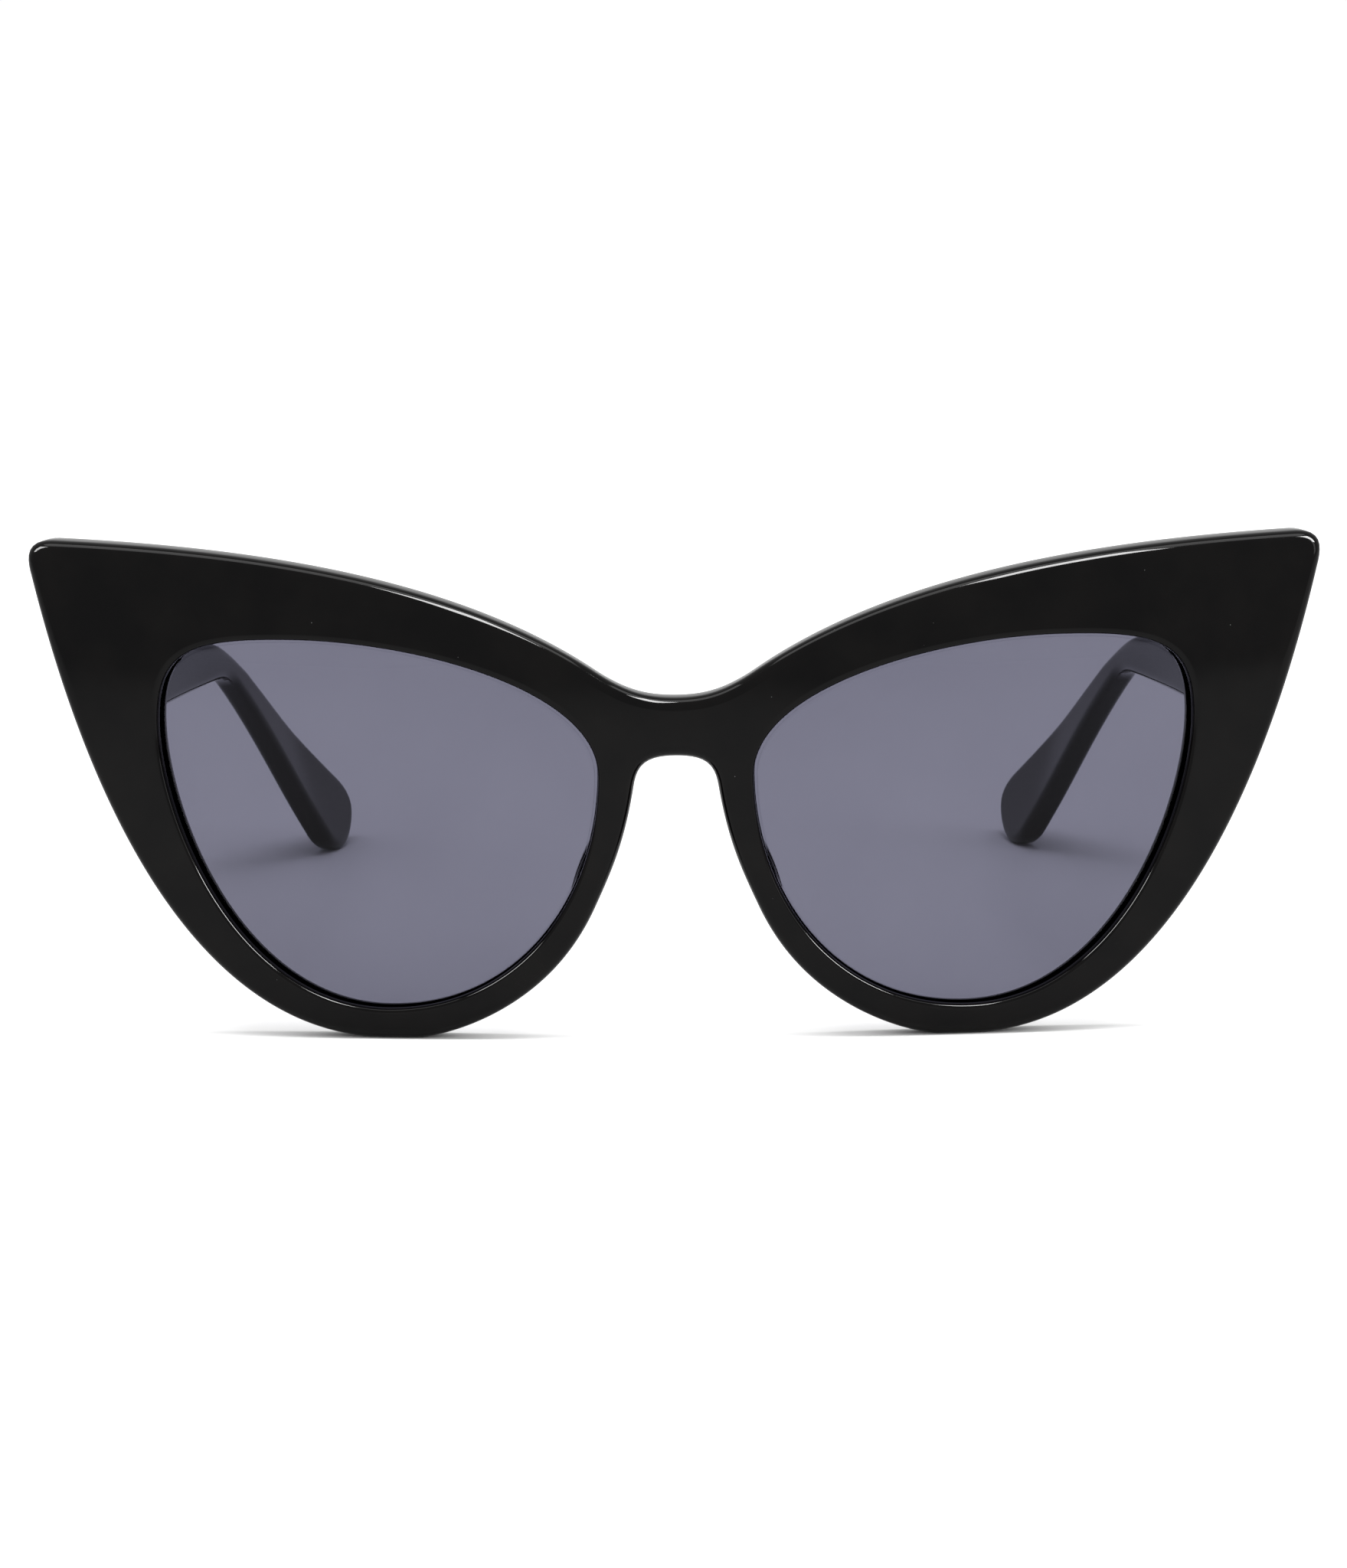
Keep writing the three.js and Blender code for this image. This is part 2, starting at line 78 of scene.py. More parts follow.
TEMPLE_INNER_X = 64.1
TEMPLE_THICKNESS = 4.2
EAR_THICKNESS = 3.2
TEMPLE_EDGE = 1.25
TEMPLE_INWARD = 0.122  # how far the shaft runs inwards for each mm back
EAR_LEAN = 0.24  # how far the ear piece leans inwards for each mm down
EAR_TOP_Z = 31.0
TIP_CURL = 0.1  # how much more the tip runs inwards for each mm back
TIP_BACK = 118.0  # where that curl begins
FLAT_STRIP = 0.3  # strip of flat face that keeps the shading even beside an edge

AXIS_X = 62.2
HINGE_Z = 39.2
BARREL_RADIUS = 1.5
BARREL_HEIGHT = 1.45
BARRELS = 5
LEAF_THICKNESS = 1.0
NECK_WIDTH = 2.2
FRONT_LEAF = {"width": 3.2, "height": 12.4, "rivet_z": 5.1}
TEMPLE_LEAF = {"length": 9.0, "height": 8.4, "rivet_back": 6.6, "rivet_z": 2.4}
PAD = {"x": 9.6, "z": 19.0, "half_length": 6.6, "half_width": 1.55, "tilt": 0.36, "height": 4.2, "flare": 0.8}

# ---- outlines, as cubic curves ----
# One half of the front: brow, wing tip, flank, foot, nose side and nose arch.
FRONT_HALF = [
    ((0, 40), (3.6, 40), (5.7, 40.8), (8.9, 42.9)),
    ((8.9, 42.9), (25.6, 54.1), (49.6, 57), (71.5, 57.3)),
    ((71.5, 57.3), (74.2, 57.4), (75.6, 56.6), (74.6, 53.2)),
    ((74.6, 53.2), (69.4, 32.5), (58, 0), (34, 0)),
    ((34, 0), (32.7, 0), (31.5, 0), (30.2, 0)),
    ((30.2, 0), (28.4, 0), (15.3, 2.4), (9.3, 15.6)),
    ((9.3, 15.6), (7.6, 19.3), (5.9, 22.9), (4.8, 29.7)),
    ((4.8, 29.7), (4.4, 32.2), (3.4, 33.2), (0, 33.2)),
]
OPENING = [
    ((44.1, 46.7), (29, 46.7), (8.9, 40.9), (8.9, 31)),
    ((8.9, 31), (8.9, 17.4), (17.8, 3.6), (33.5, 3.6)),
    ((33.5, 3.6), (51.3, 3.6), (59.7, 26.3), (59.7, 37)),
    ((59.7, 37), (59.7, 45.2), (55.7, 46.7), (44.1, 46.7)),
]


def wrap(x, z):
    """How far back the front's surface lies: two shallow bowls joined by an arch over the bridge."""
    a = np.abs(x)
    across = np.maximum(a, BRIDGE_REACH) - APEX[0]
    arch = np.where(a > BRIDGE_REACH, 0, across * (a**2 - BRIDGE_REACH**2) / (2 * BRIDGE_REACH * BASE_CURVE))
    return (across**2 + (z - APEX[1]) ** 2) / (2 * BASE_CURVE) + arch


def slope(x):
    """How fast that surface runs back for each mm across."""
    a = np.abs(x)
    arch = (BRIDGE_REACH - APEX[0]) * a / BRIDGE_REACH
    return np.sign(x) * np.where(a > BRIDGE_REACH, a - APEX[0], arch) / BASE_CURVE


def back_of(x, z):
    """The back of the front, straight behind a point of its foremost surface."""
    return float(wrap(x, z) + FRONT_THICKNESS * np.hypot(1, slope(x)))


AXIS_Y = back_of(AXIS_X, HINGE_Z) + BARREL_RADIUS + 2 * GAP
TEMPLE_START = back_of(TEMPLE_INNER_X, HINGE_Z) + GAP
LEAF_ANGLE = math.atan(slope(AXIS_X))
LEAF_Y = back_of(AXIS_X, HINGE_Z) - LEAF_THICKNESS / 2
LEAF_START = TEMPLE_START + 2 * GAP

# The temple from the side, as distance back and height.
TEMPLE_SIDE = [
    ((TEMPLE_START, 45.2), (TEMPLE_START, 41.4), (TEMPLE_START, 37.7), (TEMPLE_START, 34)),
    ((TEMPLE_START, 34), (34, 32.4), (62, 30.8), (80, 29.6)),
    ((80, 29.6), (86, 29.2), (89.6, 28.9), (93, 27.2)),
    ((93, 27.2), (103.8, 20.9), (113.6, 11.2), (122.5, 1.8)),
    ((122.5, 1.8), (126, -1.1), (131.3, -0.2), (134.6, 2.6)),
    ((134.6, 2.6), (137.1, 4.8), (135.7, 6.9), (132.7, 8.7)),
    ((132.7, 8.7), (122.5, 14.7), (110.2, 22.7), (100.3, 28.1)),
    ((100.3, 28.1), (92.3, 31.8), (86.3, 33.8), (78.3, 34.9)),
    ((78.3, 34.9), (58, 37.6), (34, 43.2), (TEMPLE_START, 45.2)),
]


# ---- outlines and surfaces ----
def curve_points(a, b, c, d, step):
    """Evenly spaced points along a cubic curve, its last one left out."""
    a, b, c, d = (np.array(p, float) for p in (a, b, c, d))
    t = np.linspace(0, 1, 400)[:, None]
    fine = (1 - t) ** 3 * a + 3 * (1 - t) ** 2 * t * b + 3 * (1 - t) * t**2 * c + t**3 * d
    run = np.concatenate([[0], np.cumsum(np.linalg.norm(np.diff(fine, axis=0), axis=1))])
    at = np.linspace(0, run[-1], max(2, round(run[-1] / step)) + 1)[:-1]
    return np.stack([np.interp(at, run, fine[:, k]) for k in (0, 1)], axis=1)


def trace(curves, step=0.6):
    return np.concatenate([curve_points(*curve, step) for curve in curves])


def front_outline():
    half = trace(FRONT_HALF)
    mirrored = half[1:] * (-1, 1)
    return np.concatenate([half, [(0, 33.2)], mirrored[::-1]])[::-1]


def offset(loop, inset):
    """The loop moved to its left by inset, which may differ from point to point."""
    before = loop - np.roll(loop, 1, axis=0)
    after = np.roll(loop, -1, axis=0) - loop
    before /= np.linalg.norm(before, axis=1)[:, None]
    after /= np.linalg.norm(after, axis=1)[:, None]
    along = before + after
    along /= np.linalg.norm(along, axis=1)[:, None]
    stretch = 1 / np.maximum(0.5, (along * after).sum(axis=1))
    left = np.stack([-along[:, 1], along[:, 0]], axis=1)
    return loop + left * (inset * stretch)[:, None]


def inside(points, loop):
    """Which points lie inside a loop."""
    x, y = points[:, 0][:, None], points[:, 1][:, None]
    ax, ay = loop.T
    bx, by = np.roll(loop, -1, axis=0).T
    spans = (ay > y) != (by > y)
    rise = np.where(by == ay, 1, by - ay)
    return (spans & (x < (bx - ax) * (y - ay) / rise + ax)).sum(axis=1) % 2 == 1


def distance(points, loop):
    """Distance from each point to the nearest point of a loop."""
    parts = np.array_split(points, max(1, len(points) // 2000))
    near = [np.sqrt(((p[:, None] - loop[None]) ** 2).sum(axis=2).min(axis=1)) for p in parts]
    return np.concatenate(near)


def smooth(low, high, t):
    t = np.clip((np.asarray(t, float) - low) / (high - low), 0, 1)
    return t * t * (3 - 2 * t)


def on_front(x, z, depth):
    """A point of the front by its depth, measured square to the surface as seen from above."""
    lean = slope(x)
    step = depth / np.hypot(1, lean)
    return np.stack([x - step * lean, wrap(x, z) + step, z], axis=-1)


def ramp(t, softness):
    return (np.hypot(t, softness) + t) / 2


def on_temple(back, z, share):
    """A point of the temple, by distance back, height and share of its thickness."""
    shaft = TEMPLE_INWARD * ramp(back - 26, 4) + TIP_CURL * ramp(back - TIP_BACK, 4)
    inner = TEMPLE_INNER_X - shaft - EAR_LEAN * ramp(EAR_TOP_Z - z, 3) * smooth(55, 88, back)
    thick = TEMPLE_THICKNESS + (EAR_THICKNESS - TEMPLE_THICKNESS) * smooth(24, 95, back)
    x = inner + share * thick
    mitre = wrap(x, z) - wrap(TEMPLE_INNER_X, HINGE_Z)
    return np.stack([x, back + mitre * (1 - smooth(TEMPLE_START, TEMPLE_START + 12, back)), z], axis=-1)


# ---- mesh building ----
def fill(loops, spacing):
    """Points and triangles over the region between loops, on an even grid."""
    edge = np.concatenate(loops)
    low, high = edge.min(axis=0), edge.max(axis=0)
    rows = np.arange(low[1], high[1], spacing * 0.866)
    columns = np.arange(low[0], high[0], spacing)
    grid = np.array([(x + spacing / 2 * (i % 2), y) for i, y in enumerate(rows) for x in columns])
    grid = grid[between(grid, loops)]
    grid = grid[distance(grid, edge) > spacing * 0.6]
    points = np.concatenate([edge, grid])
    links, start = [], 0
    for loop in loops:
        links += [(start + i, start + (i + 1) % len(loop)) for i in range(len(loop))]
        start += len(loop)
    made = geometry.delaunay_2d_cdt([Vector(p) for p in points], links, [], 0, 1e-6)
    source = [first[0] for first in made[3]]
    triangles = np.array([[source[k] for k in face] for face in made[2]])
    return grid, triangles[between(points[triangles].mean(axis=1), loops)]


def between(points, loops):
    held = inside(points, loops[0])
    for hole in loops[1:]:
        held &= ~inside(points, hole)
    return held


def band(a, b):
    """Faces between two rings of vertex numbers."""
    return [(a[i], b[i], b[(i + 1) % len(a)], a[(i + 1) % len(a)]) for i in range(len(a))]


def sheet(loops, profiles, place, spacing=1.2):
    """A sheet with shaped edges. Each profile goes round from the near face to the far one, and
    its insets and depths may differ from point to point."""
    flat, faces, rims = [], [], []
    count = 0
    for loop, profile in zip(loops, profiles):
        rings = []
        for inset, depth in profile:
            ring = offset(loop, np.broadcast_to(inset, len(loop)))
            flat.append(np.column_stack([ring, np.broadcast_to(depth, len(ring))]))
            rings.append((ring, np.arange(count, count + len(ring))))
            count += len(ring)
        for (_, a), (_, b) in zip(rings, rings[1:]):
            faces += band(a, b)
        rims.append(rings)
    for end in (0, -1):
        grid, triangles = fill([rings[end][0] for rings in rims], spacing)
        numbers = np.concatenate([rings[end][1] for rings in rims] + [np.arange(count, count + len(grid))])
        flat.append(np.column_stack([grid, np.full(len(grid), np.mean(profiles[0][end][1]))]))
        count += len(grid)
        faces += [tuple(numbers[k] for k in triangle) for triangle in triangles]
    return place(*np.concatenate(flat).T), faces


def loft(rings, start, end):
    """A closed form through rings of points, drawn together to one point at each end."""
    size = len(rings[0])
    points = np.concatenate([*rings, [start, end]])
    numbers = [np.arange(i * size, (i + 1) * size) for i in range(len(rings))]
    faces = [face for a, b in zip(numbers, numbers[1:]) for face in band(a, b)]
    first, last = len(points) - 2, len(points) - 1
    faces += [(numbers[0][i], numbers[0][(i + 1) % size], first) for i in range(size)]
    faces += [(numbers[-1][i], numbers[-1][(i + 1) % size], last) for i in range(size)]
    return points, faces


def mesh_of(points, faces, crease=35):
    """A mesh in metres with its faces outwards, shaded smooth up to the crease angle."""
    mesh = bpy.data.meshes.new("shape")
    world = (np.asarray(points) + (0, FRONT_Y, 0)) * MM
    mesh.from_pydata(world.tolist(), [], [[int(k) for k in face] for face in faces])
    tidy(mesh, crease)
    return mesh


def tidy(mesh, crease):
    work = bmesh.new()
    work.from_mesh(mesh)
    bmesh.ops.recalc_face_normals(work, faces=work.faces)
    work.to_mesh(mesh)
    work.free()
    mesh.polygons.foreach_set("use_smooth", [True] * len(mesh.polygons))
    mesh.set_sharp_from_angle(angle=math.radians(crease))


def mirrored(mesh):
    other = mesh.copy()
    other.transform(Matrix.Scale(-1, 4, (1, 0, 0)))
    other.flip_normals()
    return other


def joined(meshes, crease=35):
    """Several closed meshes as one."""
    work = bmesh.new()
    for mesh in meshes:
        work.from_mesh(mesh)
    result = bpy.data.meshes.new("shape")
    work.to_mesh(result)
    work.free()
    tidy(result, crease)
    return result


def cut(mesh, tools, crease=35):
    """The mesh with the tools cut out of it."""
    body = bpy.data.objects.new("cut", mesh)
    tool = bpy.data.objects.new("tool", joined(tools))
    for item in (body, tool):
        bpy.context.scene.collection.objects.link(item)
    step = body.modifiers.new("cut", "BOOLEAN")
    step.operation = "DIFFERENCE"
    step.solver = "EXACT"
    step.object = tool
    shape = bpy.data.meshes.new_from_object(body.evaluated_get(bpy.context.evaluated_depsgraph_get()))
    for item in (body, tool):
        bpy.data.objects.remove(item)
    shape.polygons.foreach_set("use_smooth", [True] * len(shape.polygons))
    shape.set_sharp_from_angle(angle=math.radians(crease))
    return shape


def block(x, y, z, width, depth, height, angle=0.0, round_by=0.0):
    """A block given by its centre and size, turned about the vertical, with rounded edges."""
    work = bmesh.new()
    bmesh.ops.create_cube(work, size=1)
    bmesh.ops.scale(work, vec=(width, depth, height), verts=work.verts)
    if round_by:
        bmesh.ops.bevel(work, geom=work.edges[:], offset=round_by, segments=3, profile=0.5, affect="EDGES")
    bmesh.ops.rotate(work, matrix=Matrix.Rotation(angle, 3, "Z"), verts=work.verts)
    bmesh.ops.translate(work, vec=(x, y, z), verts=work.verts)
    points = [tuple(v.co) for v in work.verts]
    work.verts.index_update()
    faces = [[v.index for v in face.verts] for face in work.faces]
    work.free()
    return mesh_of(points, faces)


def turned(profile, centre, turn=None, sides=40):
    """A form of revolution about the vertical through the centre, from [radius, height] pairs."""
    angles = np.arange(sides) * 2 * np.pi / sides
    circle = np.stack([np.cos(angles), np.sin(angles)], axis=1)
    rings = [np.column_stack([r * circle, np.full(sides, h)]) for r, h in profile]
    points, faces = loft(rings, (0, 0, profile[0][1]), (0, 0, profile[-1][1]))
    if turn is not None:
        points = points @ np.array(turn.to_3x3()).T
    return mesh_of(points + np.asarray(centre), faces)


def rounded_post(radius, low, high, soft):
    """A profile for a post with softened rims."""
    angles = [t * math.pi / 2 for t in (0, 0.3, 0.7, 1)]
    arc = [(radius - soft * (1 - math.sin(a)), soft * (1 - math.cos(a))) for a in angles]
    return [(r, low + h) for r, h in arc] + [(r, high - h) for r, h in reversed(arc)]


# ---- pieces of acetate and lens ----
def rounded_edge(near, far, thickness, steps=7):
    """A profile round an outer edge; its two roundings may differ from point to point."""
    angles = np.linspace(0, np.pi / 2, steps)
    front = [(near * (1 - np.sin(a)), near * (1 - np.cos(a))) for a in angles]
    back = [(far * (1 - np.sin(a)), thickness - far * (1 - np.cos(a))) for a in reversed(angles)]
    return [(near + FLAT_STRIP, 0), *front, *back, (far + FLAT_STRIP, thickness)]


def front_frame():
    outline = front_outline()
    across, up = np.abs(outline.T)
    nose = smooth(15, 7, across) * smooth(40, 35.5, up) * smooth(2, 9, up)
    near = FRONT_EDGE + (NOSE_EDGE - FRONT_EDGE) * nose
    opening = trace(OPENING)
    other = (opening * (-1, 1))[::-1]
    rim = [
        (0.5 + FLAT_STRIP, 0), (0.5, 0), (0.33, 0.04), (0.19, 0.13), (0.08, 0.28), (0.02, 0.46), (0, 0.65),
        (0, GROOVE_MIDDLE - 0.95), (GROOVE_DEPTH, GROOVE_MIDDLE - 0.2), (GROOVE_DEPTH, GROOVE_MIDDLE + 0.2),
        (0, GROOVE_MIDDLE + 0.95), (0, FRONT_THICKNESS - 0.5), (0.15, FRONT_THICKNESS - 0.15),
        (0.5, FRONT_THICKNESS), (0.5 + FLAT_STRIP, FRONT_THICKNESS),
    ]
    loops = [outline, opening[::-1], other[::-1]]
    mesh = mesh_of(*sheet(loops, [rounded_edge(near, BACK_EDGE, FRONT_THICKNESS), rim, rim], on_front))
    pocket = block(AXIS_X, LEAF_Y + 0.5, HINGE_Z, FRONT_LEAF["width"] + 2 * GAP,
                   LEAF_THICKNESS + 2 * GAP + 1, FRONT_LEAF["height"] + 2 * GAP, LEAF_ANGLE)
    return cut(mesh, [pocket, mirrored(pocket)])


def lens():
    near = GROOVE_MIDDLE - LENS_THICKNESS / 2
    far = GROOVE_MIDDLE + LENS_THICKNESS / 2
    seat = GAP + 0.05
    bevel = seat - GROOVE_DEPTH
    profile = [
        (seat + 0.12 + FLAT_STRIP, near), (seat + 0.12, near), (seat + 0.03, near + 0.05),
        (seat, near + 0.25), (bevel, GROOVE_MIDDLE - 0.1), (bevel, GROOVE_MIDDLE + 0.1),
        (seat, far - 0.25), (seat + 0.03, far - 0.05), (seat + 0.12, far), (seat + 0.12 + FLAT_STRIP, far),
    ]
    return mesh_of(*sheet([trace(OPENING)], [profile], on_front, 1.5))


def nose_pad():
    angles = np.arange(48) * 2 * np.pi / 48

    def ring(share, rise):
        across = PAD["half_width"] * share * np.cos(angles)
        along = PAD["half_length"] * share * np.sin(angles)
        x = PAD["x"] + PAD["flare"] * rise / PAD["height"]
        x = x + across * math.cos(PAD["tilt"]) - along * math.sin(PAD["tilt"])
        z = PAD["z"] + across * math.sin(PAD["tilt"]) + along * math.cos(PAD["tilt"])
        return on_front(x, z, FRONT_THICKNESS + GAP + rise)

    dome = [ring(math.cos(t), PAD["height"] * math.sin(t)) for t in np.linspace(0, 1.5, 14)]
    base = on_front(PAD["x"], PAD["z"], FRONT_THICKNESS + GAP)
    crown = on_front(PAD["x"] + PAD["flare"], PAD["z"], FRONT_THICKNESS + GAP + PAD["height"])
    return mesh_of(*loft(dome, base, crown), crease=50)


def temple():
    outline = trace(TEMPLE_SIDE, 0.7)
    share = smooth(TEMPLE_START - 0.4, TEMPLE_START + 3, outline[:, 0])
    edge = 0.25 + (TEMPLE_EDGE - 0.25) * share
    profile = rounded_edge(edge, edge, TEMPLE_THICKNESS)

    def place(back, z, depth):
        return on_temple(back, z, depth / TEMPLE_THICKNESS)

    mesh = mesh_of(*sheet([outline], [profile], place))
    pocket = block(TEMPLE_INNER_X, LEAF_START + 2.5, HINGE_Z, 2 * (LEAF_THICKNESS + GAP),
                   TEMPLE_LEAF["length"] + 4.6, TEMPLE_LEAF["height"] + 2 * GAP)
    return cut(mesh, [pocket])


# ---- hinge pieces ----
def barrel_z(k):
    return HINGE_Z + (k - (BARRELS - 1) / 2) * (BARREL_HEIGHT + GAP)


def barrel(k):
    low = barrel_z(k) - BARREL_HEIGHT / 2
    return turned(rounded_post(BARREL_RADIUS, low, low + BARREL_HEIGHT, 0.18), (AXIS_X, AXIS_Y, 0))


def front_leaf():
    reach = AXIS_Y - LEAF_Y
    numbers = [0, 2, 4]
    necks = [block(AXIS_X, AXIS_Y - reach / 2, barrel_z(k), NECK_WIDTH, reach, BARREL_HEIGHT, 0, 0.12)
             for k in numbers]
    plate = block(AXIS_X, LEAF_Y, HINGE_Z, FRONT_LEAF["width"], LEAF_THICKNESS, FRONT_LEAF["height"],
                  LEAF_ANGLE, 0.2)
    return joined([plate, *necks, *[barrel(k) for k in numbers]])


def temple_leaf():
    reach = TEMPLE_INNER_X + LEAF_THICKNESS / 2 - AXIS_X
    numbers = [1, 3]
    necks = [block(AXIS_X + reach / 2, AXIS_Y + GAP, barrel_z(k), reach, NECK_WIDTH, BARREL_HEIGHT, 0, 0.12)
             for k in numbers]
    length, height = TEMPLE_LEAF["length"], TEMPLE_LEAF["height"]
    plate = block(TEMPLE_INNER_X + LEAF_THICKNESS / 2, LEAF_START + length / 2, HINGE_Z,
                  LEAF_THICKNESS, length, height, 0, 0.2)
    return joined([plate, *necks, *[barrel(k) for k in numbers]])


def hinge_screw():
    top = barrel_z(BARRELS - 1) + BARREL_HEIGHT / 2 + GAP / 3
    bottom = barrel_z(0) - BARREL_HEIGHT / 2
    head = rounded_post(1.2, top, top + 0.7, 0.3)
    body = turned([(0.6, bottom), (0.65, bottom + 0.1), (0.65, top), *head[1:]], (AXIS_X, AXIS_Y, 0))
    slot = block(AXIS_X, AXIS_Y, top + 0.7, 3, 0.35, 0.7, 0.6)
    return cut(body, [slot])


def rivet():
    """A rivet about the vertical, its domed head upwards."""
    dome = [(0.75 * math.cos(t), 0.22 * math.sin(t)) for t in np.linspace(0.15, 1.45, 7)]
    return [(0.4, -2.3), (0.5, -2.2), (0.5, -0.8), (0.72, -0.8), (0.75, 0), *dome]


def front_rivet(side):
    at = (AXIS_X, LEAF_Y + LEAF_THICKNESS / 2, HINGE_Z + side * FRONT_LEAF["rivet_z"])
    return turned(rivet(), at, Matrix.Rotation(LEAF_ANGLE, 3, "Z") @ Matrix.Rotation(-math.pi / 2, 3, "X"))


def temple_rivet(side):
    back = LEAF_START + TEMPLE_LEAF["rivet_back"]
    at = (TEMPLE_INNER_X, back, HINGE_Z + side * TEMPLE_LEAF["rivet_z"])
    return turned(rivet(), at, Matrix.Rotation(-math.pi / 2, 3, "Y"))


# ---- materials ----
class Nodes:
    """A new material with its node tree, and short ways to add and join nodes."""

    def __init__(self, name):
        self.material = bpy.data.materials.new(name)
        self.material.use_nodes = True
        self.tree = self.material.node_tree
        self.shader = self.tree.nodes["Principled BSDF"]
        self.output = self.tree.nodes["Material Output"]
        self.place = self.add("ShaderNodeTexCoord").outputs["Object"]

    def add(self, kind, **values):
        node = self.tree.nodes.new(kind)
        for name, value in values.items():
            if hasattr(node, name):
                setattr(node, name, value)
            else:
                node.inputs[name.replace("_", " ")].default_value = value
        return node

    def join(self, source, target):
        self.tree.links.new(source, target)

    def noise(self, scale, detail=3.0, stretch=(1, 1, 1)):
        mapping = self.add("ShaderNodeMapping")
        mapping.inputs["Scale"].default_value = stretch
        self.join(self.place, mapping.inputs["Vector"])
        node = self.add("ShaderNodeTexNoise", Scale=scale, Detail=detail)
        self.join(mapping.outputs["Vector"], node.inputs["Vector"])
        return node.outputs["Fac"]

    def spread(self, value, low, high, to_low, to_high):
        node = self.add("ShaderNodeMapRange", clamp=True)
        for number, limit in enumerate((low, high, to_low, to_high), 1):
            node.inputs[number].default_value = limit
        self.join(value, node.inputs[0])
        return node.outputs["Result"]

    def blend(self, share, low, high):
        """Mixes two colours, or a socket and a colour."""
        node = self.add("ShaderNodeMix", data_type="RGBA")
        for value, socket in zip((low, high), [s for s in node.inputs if s.type == "RGBA"]):
            if isinstance(value, tuple):
                socket.default_value = (*value, 1)
            else:
                self.join(value, socket)
        self.join(share, node.inputs["Factor"])
        return next(s for s in node.outputs if s.type == "RGBA")

    def bump(self, height, strength, distance):
        node = self.add("ShaderNodeBump", Strength=strength, Distance=distance)
        self.join(height, node.inputs["Height"])
        self.join(node.outputs["Normal"], self.shader.inputs["Normal"])


def acetate():
    """Polished black acetate: faint mottling, hairline wear and a little dust."""
    m = Nodes("black_acetate")
    cloud = m.spread(m.noise(160), 0.35, 0.7, 0, 1)
    mottle = m.blend(cloud, (0.0012, 0.0011, 0.0012), (0.0026, 0.0023, 0.0022))
    specks = m.add("ShaderNodeTexVoronoi", Scale=300.0)
    m.join(m.place, specks.inputs["Vector"])
    dust = m.spread(specks.outputs["Distance"], 0.012, 0.02, 1, 0)
    m.join(m.blend(dust, mottle, (0.09, 0.09, 0.09)), m.shader.inputs["Base Color"])
    m.join(m.spread(m.noise(900, 5), 0.3, 0.75, 0.05, 0.08), m.shader.inputs["Roughness"])
    m.shader.inputs["Specular IOR Level"].default_value = 0.085
    m.bump(m.noise(70, 2), 0.04, 0.00005)
    return m.material


def tinted_lens():
    """Grey lens tint that lets light through, with a smooth gloss over it."""
    m = Nodes("tinted_lens")
    m.tree.nodes.remove(m.shader)
    tint = m.add("ShaderNodeBsdfTransparent")
    haze = m.spread(m.noise(60), 0.3, 0.7, 0, 1)
    m.join(m.blend(haze, (0.331, 0.330, 0.382), (0.342, 0.341, 0.393)), tint.inputs["Color"])
    gloss = m.add("ShaderNodeBsdfGlossy", Roughness=0.0)
    gloss.inputs["Color"].default_value = (0.14, 0.14, 0.15, 1)
    edge = m.add("ShaderNodeFresnel", IOR=1.5)
    mix = m.add("ShaderNodeMixShader")
    entering = m.spread(m.add("ShaderNodeNewGeometry").outputs["Backfacing"], 0, 1, 1, 0)
    share = m.add("ShaderNodeMath", operation="MULTIPLY")
    m.join(edge.outputs["Fac"], share.inputs[0])
    m.join(entering, share.inputs[1])
    m.join(share.outputs["Value"], mix.inputs["Fac"])
    m.join(tint.outputs["BSDF"], mix.inputs[1])
    m.join(gloss.outputs["BSDF"], mix.inputs[2])
    m.join(mix.outputs["Shader"], m.output.inputs["Surface"])
    return m.material


def steel(name, colour, roughness, stretch):
    """Nickel-coloured steel with fine brush marks along one direction."""
    m = Nodes(name)
    lines = m.noise(1500, 4, stretch)
    dull = tuple(c * 0.72 for c in colour)
    m.join(m.blend(m.spread(lines, 0.3, 0.7, 0, 1), dull, colour), m.shader.inputs["Base Color"])
    m.join(m.spread(lines, 0.3, 0.7, roughness, roughness + 0.16), m.shader.inputs["Roughness"])
    m.shader.inputs["Metallic"].default_value = 1.0
    m.bump(lines, 0.15, 0.00004)
    return m.material


# ---- putting the pieces in place ----
def add_piece(name, node, mesh, material):
    piece = bpy.data.objects.new(name, mesh)
    bpy.context.scene.collection.objects.link(piece)
    mesh.name = name
    mesh.materials.clear()
    mesh.materials.append(material)
    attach(piece, frame["nodes"][node]["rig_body"])
    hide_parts(node)
    return piece


def add_pair(node, mesh, material):
    """A piece on the wearer's left and its mirror image on the right, each for its CAD node."""
    add_piece(f"fine_left_{node}", f"left_{node}", mesh, material)
    add_piece(f"fine_right_{node}", f"right_{node}", mirrored(mesh), material)


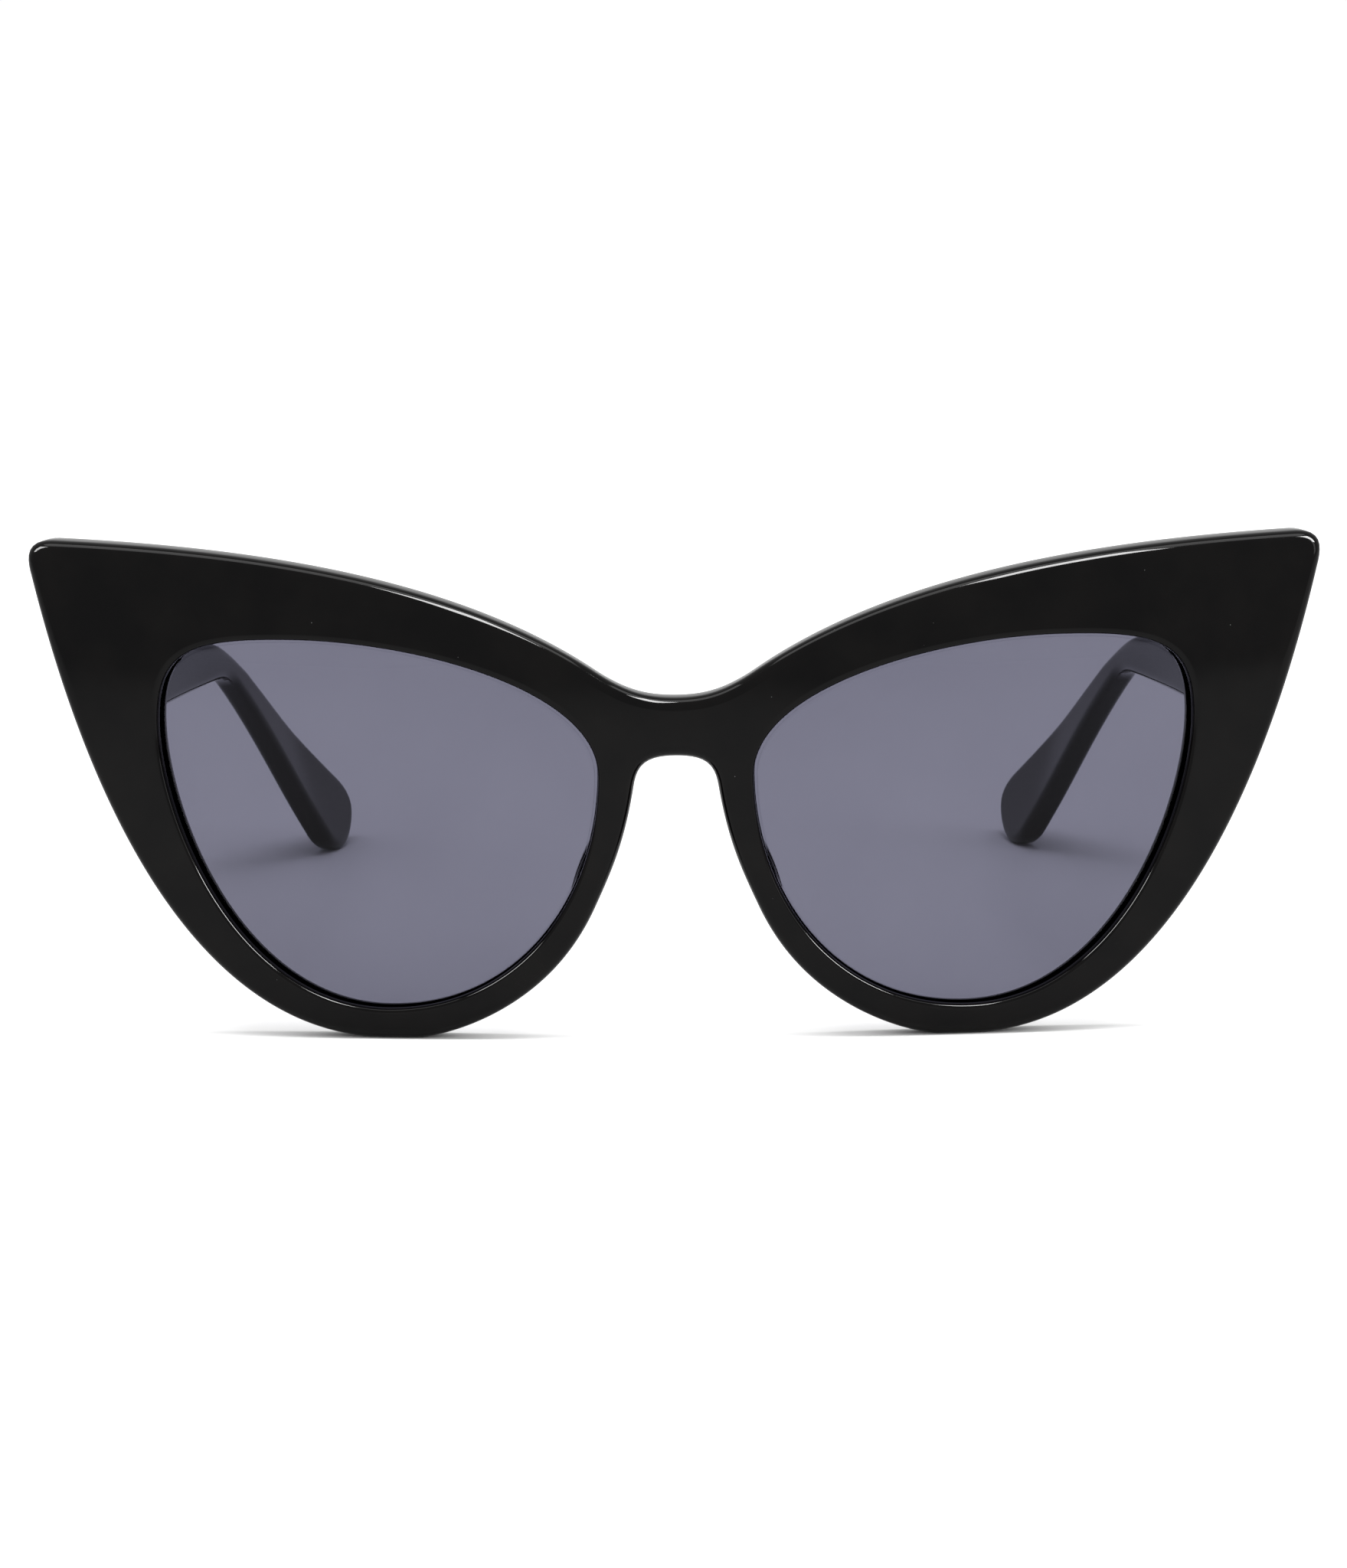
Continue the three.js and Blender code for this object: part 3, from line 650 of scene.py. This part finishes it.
def build_glasses():
    black = acetate()
    hinge = steel("hinge_steel", (0.60, 0.60, 0.62), 0.2, (1, 1, 0.08))
    screw = steel("screw_steel", (0.66, 0.65, 0.64), 0.16, (1, 1, 1))
    wire = steel("wire_steel", (0.5, 0.5, 0.52), 0.3, (1, 0.05, 1))
    add_piece("fine_front", "front_frame", front_frame(), black)
    add_pair("lens", lens(), tinted_lens())
    add_pair("nose_pad", nose_pad(), black)
    add_pair("temple", temple(), black)
    add_pair("front_leaf", front_leaf(), hinge)
    add_pair("temple_leaf", temple_leaf(), hinge)
    add_pair("hinge_screw", hinge_screw(), screw)
    for place, side in (("lower", -1), ("upper", 1)):
        add_pair(f"front_rivet_{place}", front_rivet(side), screw)
        add_pair(f"temple_rivet_{place}", temple_rivet(side), screw)
    for side in ("left", "right"):
        core = frame["nodes"][f"{side}_core_wire"].data
        core.materials.clear()
        core.materials.append(wire)


# ---- floor, light and camera ----
def build_floor():
    m = Nodes("floor")
    tone = m.blend(m.spread(m.noise(3), 0.3, 0.7, 0, 1), (0.93, 0.93, 0.93), (0.95, 0.95, 0.95))
    m.join(tone, m.shader.inputs["Base Color"])
    m.shader.inputs["Roughness"].default_value = 0.9
    m.shader.inputs["Specular IOR Level"].default_value = 0.0
    angles = np.arange(96) * 2 * np.pi / 96
    mesh = bpy.data.meshes.new("floor")
    mesh.from_pydata([(9 * math.cos(a), 9 * math.sin(a), 0) for a in angles], [], [list(range(96))])
    mesh.materials.append(m.material)
    floor = bpy.data.objects.new("floor", mesh)
    bpy.context.scene.collection.objects.link(floor)


def softbox(name, place, target, size, power):
    data = bpy.data.lights.new(name, "AREA")
    data.shape = "RECTANGLE"
    data.size, data.size_y = size
    data.energy = power
    light = bpy.data.objects.new(name, data)
    light.location = place
    light.rotation_mode = "QUATERNION"
    light.rotation_quaternion = (Vector(target) - Vector(place)).to_track_quat("-Z", "Y")
    bpy.context.scene.collection.objects.link(light)
    return light


def light_only(light, names):
    """Keeps a light to the gloss of the pieces whose names hold one of these words."""
    light.visible_diffuse = False
    lit = bpy.data.collections.new(light.name)
    for piece in bpy.context.scene.objects:
        if any(name in piece.name for name in names):
            lit.objects.link(piece)
    light.light_linking.receiver_collection = lit


def build_light():
    world = bpy.data.worlds.new("studio")
    world.use_nodes = True
    world.node_tree.nodes["Background"].inputs["Color"].default_value = (1, 1, 1, 1)
    world.node_tree.nodes["Background"].inputs["Strength"].default_value = 0.95
    bpy.context.scene.world = world
    bpy.context.scene.view_settings.view_transform = "Standard"
    softbox("top", (0, -0.15, 1.1), (0, 0, 0), (1.4, 0.5), 14)
    softbox("right", (1.2, -0.7, 0.5), (0, 0, 0.03), (0.3, 0.8), 4)
    for name, x, height, size, power in (
        ("strip_right", 0.62, 0.5, (0.2, 0.42), 27),
        ("strip_left", -0.62, 0.5, (0.2, 0.35), 14),
        ("strip_top", 0.12, 0.6, (0.2, 0.2), 12),
    ):
        strip = softbox(name, (x, -0.28, height), (0, -0.068, 0.05), size, power)
        light_only(strip, ("fine_front", "nose_pad"))


def build_camera():
    data = bpy.data.cameras.new("camera")
    data.sensor_width = 36
    data.lens = 185.7
    data.clip_start, data.clip_end = 0.05, 40
    camera = bpy.data.objects.new("camera", data)
    front = FRONT_Y * MM
    camera.location = (0, front - 0.91301, 0.18828)
    aim = Vector((-0.00029, front, 0.03023)) - camera.location
    camera.rotation_mode = "QUATERNION"
    camera.rotation_quaternion = aim.to_track_quat("-Z", "Y") @ Quaternion((0, 0, 1), math.radians(-0.468))
    bpy.context.scene.collection.objects.link(camera)
    bpy.context.scene.camera = camera


build_camera()
build_glasses()
build_floor()
build_light()
bpy.context.view_layer.update()
